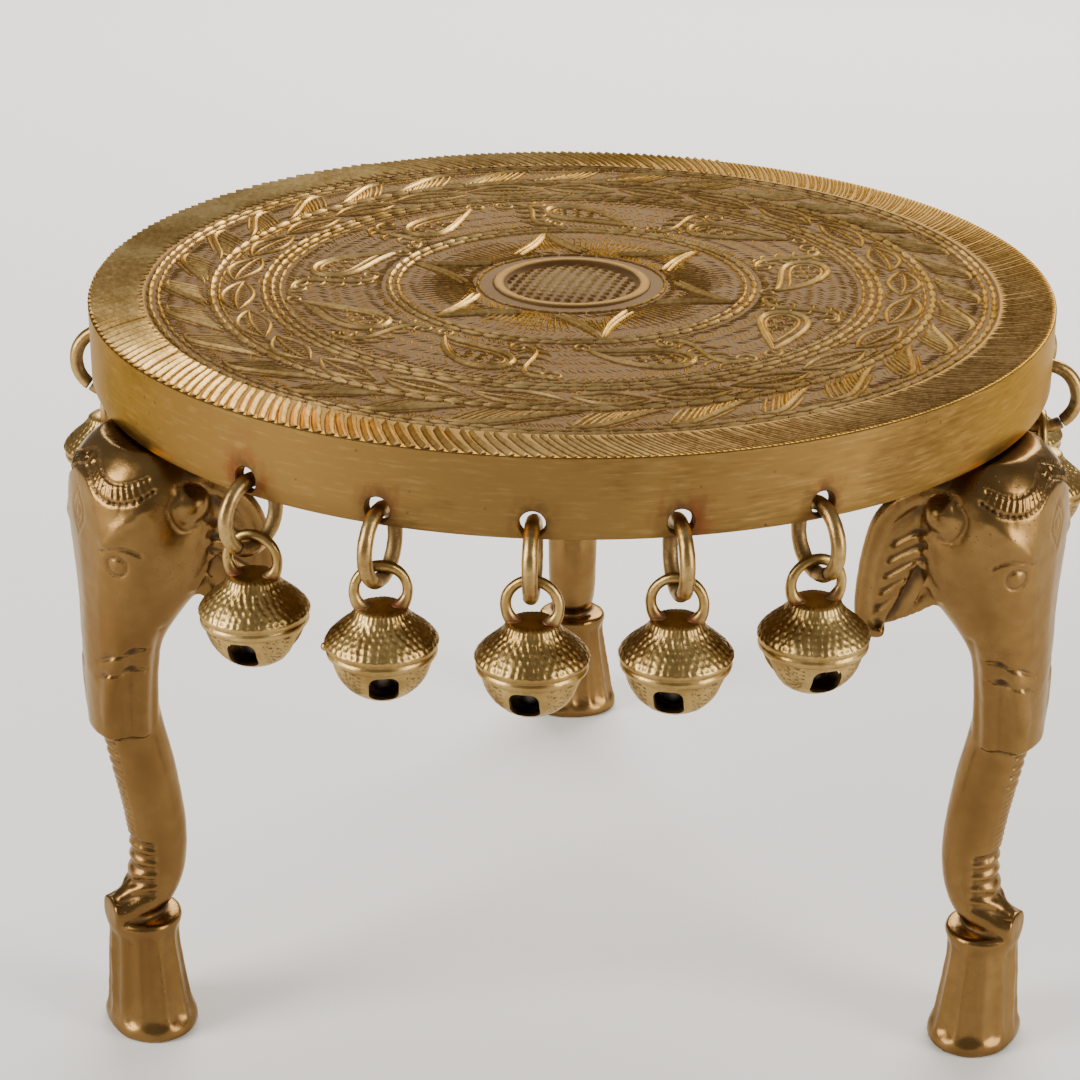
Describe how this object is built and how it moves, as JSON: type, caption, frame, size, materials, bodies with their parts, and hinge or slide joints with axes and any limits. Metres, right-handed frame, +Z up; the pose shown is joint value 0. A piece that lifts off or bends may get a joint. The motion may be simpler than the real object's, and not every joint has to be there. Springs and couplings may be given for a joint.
{
  "type": "bell-hung brass temple stool",
  "caption": "Round cast-brass temple stool with an engraved top, elephant-head legs and small crotal bells swinging on wire links round its apron.",
  "frame": {"origin": "on the floor, at the centre of the object's plan, on the vertical axis of the round top", "axes": "+Z up along the top's axis; -Y is the front, the middle of the gap between the left and right legs"},
  "size_m": [0.2185, 0.2204, 0.15],
  "materials": {
    "engraved_brass": "hand-engraved, brown patina in the cuts, satin polish on the raised work and the apron",
    "cast_brass": "cast and chased, satin polish with brown patina in the hollows",
    "bell_brass": "rough cast with punched dimples, dull polish, dark at the loop's root",
    "link_brass": "hand-bent wire with tool marks, dull",
    "screw_brass": "turned, plain",
    "pellet_iron": "dark, rough"
  },
  "bodies": {
    "stool": {"engraved_plate": "engraved_brass", "right_leg": "cast_brass", "back_leg": "cast_brass", "left_leg": "cast_brass", "right_leg_screws": "screw_brass", "back_leg_screws": "screw_brass", "left_leg_screws": "screw_brass"},
    "front_bell_1_link": {"front_bell_1_link": "link_brass"},
    "front_bell_1_shell": {"front_bell_1_shell": "bell_brass"},
    "front_bell_1_pellet": {"front_bell_1_pellet": "pellet_iron"},
    "front_bell_2_link": {"front_bell_2_link": "link_brass"},
    "front_bell_2_shell": {"front_bell_2_shell": "bell_brass"},
    "front_bell_2_pellet": {"front_bell_2_pellet": "pellet_iron"},
    "front_bell_3_link": {"front_bell_3_link": "link_brass"},
    "front_bell_3_shell": {"front_bell_3_shell": "bell_brass"},
    "front_bell_3_pellet": {"front_bell_3_pellet": "pellet_iron"},
    "front_bell_4_link": {"front_bell_4_link": "link_brass"},
    "front_bell_4_shell": {"front_bell_4_shell": "bell_brass"},
    "front_bell_4_pellet": {"front_bell_4_pellet": "pellet_iron"},
    "front_bell_5_link": {"front_bell_5_link": "link_brass"},
    "front_bell_5_shell": {"front_bell_5_shell": "bell_brass"},
    "front_bell_5_pellet": {"front_bell_5_pellet": "pellet_iron"},
    "right_bell_1_link": {"right_bell_1_link": "link_brass"},
    "right_bell_1_shell": {"right_bell_1_shell": "bell_brass"},
    "right_bell_1_pellet": {"right_bell_1_pellet": "pellet_iron"},
    "right_bell_2_link": {"right_bell_2_link": "link_brass"},
    "right_bell_2_shell": {"right_bell_2_shell": "bell_brass"},
    "right_bell_2_pellet": {"right_bell_2_pellet": "pellet_iron"},
    "right_bell_3_link": {"right_bell_3_link": "link_brass"},
    "right_bell_3_shell": {"right_bell_3_shell": "bell_brass"},
    "right_bell_3_pellet": {"right_bell_3_pellet": "pellet_iron"},
    "right_bell_4_link": {"right_bell_4_link": "link_brass"},
    "right_bell_4_shell": {"right_bell_4_shell": "bell_brass"},
    "right_bell_4_pellet": {"right_bell_4_pellet": "pellet_iron"},
    "right_bell_5_link": {"right_bell_5_link": "link_brass"},
    "right_bell_5_shell": {"right_bell_5_shell": "bell_brass"},
    "right_bell_5_pellet": {"right_bell_5_pellet": "pellet_iron"},
    "left_bell_1_link": {"left_bell_1_link": "link_brass"},
    "left_bell_1_shell": {"left_bell_1_shell": "bell_brass"},
    "left_bell_1_pellet": {"left_bell_1_pellet": "pellet_iron"},
    "left_bell_2_link": {"left_bell_2_link": "link_brass"},
    "left_bell_2_shell": {"left_bell_2_shell": "bell_brass"},
    "left_bell_2_pellet": {"left_bell_2_pellet": "pellet_iron"},
    "left_bell_3_link": {"left_bell_3_link": "link_brass"},
    "left_bell_3_shell": {"left_bell_3_shell": "bell_brass"},
    "left_bell_3_pellet": {"left_bell_3_pellet": "pellet_iron"},
    "left_bell_4_link": {"left_bell_4_link": "link_brass"},
    "left_bell_4_shell": {"left_bell_4_shell": "bell_brass"},
    "left_bell_4_pellet": {"left_bell_4_pellet": "pellet_iron"},
    "left_bell_5_link": {"left_bell_5_link": "link_brass"},
    "left_bell_5_shell": {"left_bell_5_shell": "bell_brass"},
    "left_bell_5_pellet": {"left_bell_5_pellet": "pellet_iron"}
  },
  "joints": [
    {"name": "front_bell_1_link_swing", "type": "hinge", "parent": "stool", "child": "front_bell_1_link", "pos_m": [-0.05841, -0.07981, 0.136], "axis": [0.807, -0.5906, 0], "range_deg": [-12, 12]},
    {"name": "front_bell_1_shell_swing", "type": "hinge", "parent": "front_bell_1_link", "child": "front_bell_1_shell", "pos_m": [-0.05841, -0.07981, 0.1223], "axis": [-0.5906, -0.807, 0], "range_deg": [-22, 22]},
    {"name": "front_bell_1_pellet_roll", "type": "hinge", "parent": "front_bell_1_shell", "child": "front_bell_1_pellet", "pos_m": [-0.05841, -0.07981, 0.108], "axis": [0.831, 0.5563, 0], "range_deg": [-30, 30]},
    {"name": "front_bell_2_link_swing", "type": "hinge", "parent": "stool", "child": "front_bell_2_link", "pos_m": [-0.03334, -0.09311, 0.136], "axis": [0.9415, -0.3371, 0], "range_deg": [-12, 12]},
    {"name": "front_bell_2_shell_swing", "type": "hinge", "parent": "front_bell_2_link", "child": "front_bell_2_shell", "pos_m": [-0.03334, -0.09311, 0.1223], "axis": [-0.3371, -0.9415, 0], "range_deg": [-22, 22]},
    {"name": "front_bell_2_pellet_roll", "type": "hinge", "parent": "front_bell_2_shell", "child": "front_bell_2_pellet", "pos_m": [-0.03334, -0.09311, 0.108], "axis": [0.6252, 0.7804, 0], "range_deg": [-30, 30]},
    {"name": "front_bell_3_link_swing", "type": "hinge", "parent": "stool", "child": "front_bell_3_link", "pos_m": [-0.00552, -0.09875, 0.136], "axis": [0.9984, -0.0558, 0], "range_deg": [-12, 12]},
    {"name": "front_bell_3_shell_swing", "type": "hinge", "parent": "front_bell_3_link", "child": "front_bell_3_shell", "pos_m": [-0.00552, -0.09875, 0.1223], "axis": [-0.0558, -0.9984, 0], "range_deg": [-22, 22]},
    {"name": "front_bell_3_pellet_roll", "type": "hinge", "parent": "front_bell_3_shell", "child": "front_bell_3_pellet", "pos_m": [-0.00552, -0.09875, 0.108], "axis": [0.8007, 0.599, 0], "range_deg": [-30, 30]},
    {"name": "front_bell_4_link_swing", "type": "hinge", "parent": "stool", "child": "front_bell_4_link", "pos_m": [0.02073, -0.0967, 0.136], "axis": [0.9778, 0.2096, 0], "range_deg": [-12, 12]},
    {"name": "front_bell_4_shell_swing", "type": "hinge", "parent": "front_bell_4_link", "child": "front_bell_4_shell", "pos_m": [0.02073, -0.0967, 0.1223], "axis": [0.2096, -0.9778, 0], "range_deg": [-22, 22]},
    {"name": "front_bell_4_pellet_roll", "type": "hinge", "parent": "front_bell_4_shell", "child": "front_bell_4_pellet", "pos_m": [0.02073, -0.0967, 0.108], "axis": [0.8181, 0.575, 0], "range_deg": [-30, 30]},
    {"name": "front_bell_5_link_swing", "type": "hinge", "parent": "stool", "child": "front_bell_5_link", "pos_m": [0.04643, -0.08732, 0.136], "axis": [0.8829, 0.4695, 0], "range_deg": [-12, 12]},
    {"name": "front_bell_5_shell_swing", "type": "hinge", "parent": "front_bell_5_link", "child": "front_bell_5_shell", "pos_m": [0.04643, -0.08732, 0.1223], "axis": [0.4695, -0.8829, 0], "range_deg": [-22, 22]},
    {"name": "front_bell_5_pellet_roll", "type": "hinge", "parent": "front_bell_5_shell", "child": "front_bell_5_pellet", "pos_m": [0.04643, -0.08732, 0.108], "axis": [0.5, 0.866, 0], "range_deg": [-30, 30]},
    {"name": "right_bell_1_link_swing", "type": "hinge", "parent": "stool", "child": "right_bell_1_link", "pos_m": [0.09832, -0.01068, 0.136], "axis": [0.108, 0.9942, 0], "range_deg": [-12, 12]},
    {"name": "right_bell_1_shell_swing", "type": "hinge", "parent": "right_bell_1_link", "child": "right_bell_1_shell", "pos_m": [0.09832, -0.01068, 0.1223], "axis": [0.9942, -0.108, 0], "range_deg": [-22, 22]},
    {"name": "right_bell_1_pellet_roll", "type": "hinge", "parent": "right_bell_1_shell", "child": "right_bell_1_pellet", "pos_m": [0.09832, -0.01068, 0.108], "axis": [-0.6794, 0.7337, 0], "range_deg": [-30, 30]},
    {"name": "right_bell_2_link_swing", "type": "hinge", "parent": "stool", "child": "right_bell_2_link", "pos_m": [0.09731, 0.01768, 0.136], "axis": [-0.1788, 0.9839, 0], "range_deg": [-12, 12]},
    {"name": "right_bell_2_shell_swing", "type": "hinge", "parent": "right_bell_2_link", "child": "right_bell_2_shell", "pos_m": [0.09731, 0.01768, 0.1223], "axis": [0.9839, 0.1788, 0], "range_deg": [-22, 22]},
    {"name": "right_bell_2_pellet_roll", "type": "hinge", "parent": "right_bell_2_shell", "child": "right_bell_2_pellet", "pos_m": [0.09731, 0.01768, 0.108], "axis": [-0.6984, 0.7157, 0], "range_deg": [-30, 30]},
    {"name": "right_bell_3_link_swing", "type": "hinge", "parent": "stool", "child": "right_bell_3_link", "pos_m": [0.08828, 0.04459, 0.136], "axis": [-0.4509, 0.8926, 0], "range_deg": [-12, 12]},
    {"name": "right_bell_3_shell_swing", "type": "hinge", "parent": "right_bell_3_link", "child": "right_bell_3_shell", "pos_m": [0.08828, 0.04459, 0.1223], "axis": [0.8926, 0.4509, 0], "range_deg": [-22, 22]},
    {"name": "right_bell_3_pellet_roll", "type": "hinge", "parent": "right_bell_3_shell", "child": "right_bell_3_pellet", "pos_m": [0.08828, 0.04459, 0.108], "axis": [-0.7638, 0.6455, 0], "range_deg": [-30, 30]},
    {"name": "right_bell_4_link_swing", "type": "hinge", "parent": "stool", "child": "right_bell_4_link", "pos_m": [0.07338, 0.06631, 0.136], "axis": [-0.6704, 0.742, 0], "range_deg": [-12, 12]},
    {"name": "right_bell_4_shell_swing", "type": "hinge", "parent": "right_bell_4_link", "child": "right_bell_4_shell", "pos_m": [0.07338, 0.06631, 0.1223], "axis": [0.742, 0.6704, 0], "range_deg": [-22, 22]},
    {"name": "right_bell_4_pellet_roll", "type": "hinge", "parent": "right_bell_4_shell", "child": "right_bell_4_pellet", "pos_m": [0.07338, 0.06631, 0.108], "axis": [-0.9699, -0.2436, 0], "range_deg": [-30, 30]},
    {"name": "right_bell_5_link_swing", "type": "hinge", "parent": "stool", "child": "right_bell_5_link", "pos_m": [0.05241, 0.08387, 0.136], "axis": [-0.848, 0.5299, 0], "range_deg": [-12, 12]},
    {"name": "right_bell_5_shell_swing", "type": "hinge", "parent": "right_bell_5_link", "child": "right_bell_5_shell", "pos_m": [0.05241, 0.08387, 0.1223], "axis": [0.5299, 0.848, 0], "range_deg": [-22, 22]},
    {"name": "right_bell_5_pellet_roll", "type": "hinge", "parent": "right_bell_5_shell", "child": "right_bell_5_pellet", "pos_m": [0.05241, 0.08387, 0.108], "axis": [-0.9272, -0.3746, 0], "range_deg": [-30, 30]},
    {"name": "left_bell_1_link_swing", "type": "hinge", "parent": "stool", "child": "left_bell_1_link", "pos_m": [-0.03991, 0.09049, 0.136], "axis": [-0.915, -0.4035, 0], "range_deg": [-12, 12]},
    {"name": "left_bell_1_shell_swing", "type": "hinge", "parent": "left_bell_1_link", "child": "left_bell_1_shell", "pos_m": [-0.03991, 0.09049, 0.1223], "axis": [-0.4035, 0.915, 0], "range_deg": [-22, 22]},
    {"name": "left_bell_1_pellet_roll", "type": "hinge", "parent": "left_bell_1_shell", "child": "left_bell_1_pellet", "pos_m": [-0.03991, 0.09049, 0.108], "axis": [-0.6455, -0.7638, 0], "range_deg": [-30, 30]},
    {"name": "left_bell_2_link_swing", "type": "hinge", "parent": "stool", "child": "left_bell_2_link", "pos_m": [-0.06397, 0.07543, 0.136], "axis": [-0.7627, -0.6468, 0], "range_deg": [-12, 12]},
    {"name": "left_bell_2_shell_swing", "type": "hinge", "parent": "left_bell_2_link", "child": "left_bell_2_shell", "pos_m": [-0.06397, 0.07543, 0.1223], "axis": [-0.6468, 0.7627, 0], "range_deg": [-22, 22]},
    {"name": "left_bell_2_pellet_roll", "type": "hinge", "parent": "left_bell_2_shell", "child": "left_bell_2_pellet", "pos_m": [-0.06397, 0.07543, 0.108], "axis": [0.0401, -0.9992, 0], "range_deg": [-30, 30]},
    {"name": "left_bell_3_link_swing", "type": "hinge", "parent": "stool", "child": "left_bell_3_link", "pos_m": [-0.08276, 0.05415, 0.136], "axis": [-0.5476, -0.8368, 0], "range_deg": [-12, 12]},
    {"name": "left_bell_3_shell_swing", "type": "hinge", "parent": "left_bell_3_link", "child": "left_bell_3_shell", "pos_m": [-0.08276, 0.05415, 0.1223], "axis": [-0.8368, 0.5476, 0], "range_deg": [-22, 22]},
    {"name": "left_bell_3_pellet_roll", "type": "hinge", "parent": "left_bell_3_shell", "child": "left_bell_3_pellet", "pos_m": [-0.08276, 0.05415, 0.108], "axis": [0.585, -0.8111, 0], "range_deg": [-30, 30]},
    {"name": "left_bell_4_link_swing", "type": "hinge", "parent": "stool", "child": "left_bell_4_link", "pos_m": [-0.09411, 0.0304, 0.136], "axis": [-0.3074, -0.9516, 0], "range_deg": [-12, 12]},
    {"name": "left_bell_4_shell_swing", "type": "hinge", "parent": "left_bell_4_link", "child": "left_bell_4_shell", "pos_m": [-0.09411, 0.0304, 0.1223], "axis": [-0.9516, 0.3074, 0], "range_deg": [-22, 22]},
    {"name": "left_bell_4_pellet_roll", "type": "hinge", "parent": "left_bell_4_shell", "child": "left_bell_4_pellet", "pos_m": [-0.09411, 0.0304, 0.108], "axis": [0.6574, -0.7536, 0], "range_deg": [-30, 30]},
    {"name": "left_bell_5_link_swing", "type": "hinge", "parent": "stool", "child": "left_bell_5_link", "pos_m": [-0.09884, 0.00345, 0.136], "axis": [-0.0349, -0.9994, 0], "range_deg": [-12, 12]},
    {"name": "left_bell_5_shell_swing", "type": "hinge", "parent": "left_bell_5_link", "child": "left_bell_5_shell", "pos_m": [-0.09884, 0.00345, 0.1223], "axis": [-0.9994, 0.0349, 0], "range_deg": [-22, 22]},
    {"name": "left_bell_5_pellet_roll", "type": "hinge", "parent": "left_bell_5_shell", "child": "left_bell_5_pellet", "pos_m": [-0.09884, 0.00345, 0.108], "axis": [0.6428, -0.766, 0], "range_deg": [-30, 30]}
  ]
}
